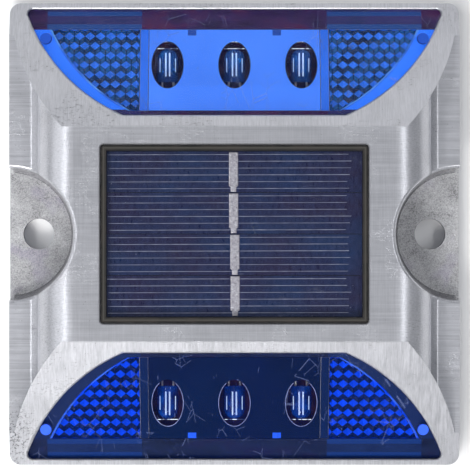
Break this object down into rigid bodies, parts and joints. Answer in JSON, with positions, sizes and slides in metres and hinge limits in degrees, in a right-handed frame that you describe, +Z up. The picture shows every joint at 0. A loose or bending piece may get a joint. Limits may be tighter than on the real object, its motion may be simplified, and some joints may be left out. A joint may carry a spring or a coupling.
{
  "type": "raised pavement marker",
  "caption": "Low square die-cast solar road stud with a cell window on top, a sloped blue LED and reflector lens at each end, and bolt seats in its sides.",
  "frame": {"origin": "centre of the flat underside", "axes": "+X across the stud from bolt to bolt, +Y along the traffic towards the rear lens, +Z up"},
  "size_m": [0.102, 0.105, 0.022],
  "materials": {
    "casting": "die-cast, brushed",
    "plate": "moulded black plastic",
    "gasket": "black rubber",
    "screw": "zinc-plated",
    "circuit_board": "green solder mask",
    "seal": "dark warm grey",
    "resin": "clear glossy resin",
    "solar_cell": "navy silicon with fine fingers",
    "ribbon": "tinned copper",
    "lens": "clear blue, glossy",
    "reflector": "blue cube corners, glossy",
    "led_holder": "blue translucent",
    "led": "clear epoxy",
    "contact_metal": "nickel-plated",
    "wire": "insulated wire",
    "battery_sleeve": "plain green sleeve",
    "black_plastic": "black",
    "foam": "black foam",
    "can": "bare can",
    "resistor": "glazed chip",
    "slider": "white plastic"
  },
  "bodies": {
    "stud": {"housing": "casting", "base_plate": "plate", "base_gasket": "gasket", "base_screws": "screw", "solar_board": "circuit_board", "solar_seal": "seal", "solar_cover": "resin", "solar_cell_1": "solar_cell", "cell_ribbon_1": "ribbon", "solar_cell_2": "solar_cell", "cell_ribbon_2": "ribbon", "solar_cell_3": "solar_cell", "cell_ribbon_3": "ribbon", "solar_cell_4": "solar_cell", "cell_ribbon_4": "ribbon", "front_lens": "lens", "front_lens_seal": "gasket", "front_led_holder": "led_holder", "front_led_pins": "contact_metal", "front_led_board": "circuit_board", "front_led_leads": "wire", "front_left_reflector": "reflector", "front_right_reflector": "reflector", "front_led_left": "led", "front_led_middle": "led", "front_led_right": "led", "rear_lens": "lens", "rear_lens_seal": "gasket", "rear_led_holder": "led_holder", "rear_led_pins": "contact_metal", "rear_led_board": "circuit_board", "rear_led_leads": "wire", "rear_left_reflector": "reflector", "rear_right_reflector": "reflector", "rear_led_left": "led", "rear_led_middle": "led", "rear_led_right": "led", "battery": "battery_sleeve", "battery_holder": "black_plastic", "battery_contact_left": "contact_metal", "battery_contact_right": "contact_metal", "battery_foam": "foam", "battery_leads": "wire", "control_board": "circuit_board", "board_screws": "screw", "control_chip": "black_plastic", "inductor": "black_plastic", "capacitor": "can", "diode": "black_plastic", "resistors": "resistor", "switch_case": "contact_metal", "solar_leads": "wire"},
    "switch": {"switch_slider": "slider"}
  },
  "joints": [
    {"name": "switch_slide", "type": "slide", "parent": "stud", "child": "switch", "axis": [1, 0, 0], "range_m": [0, 0.002]}
  ]
}
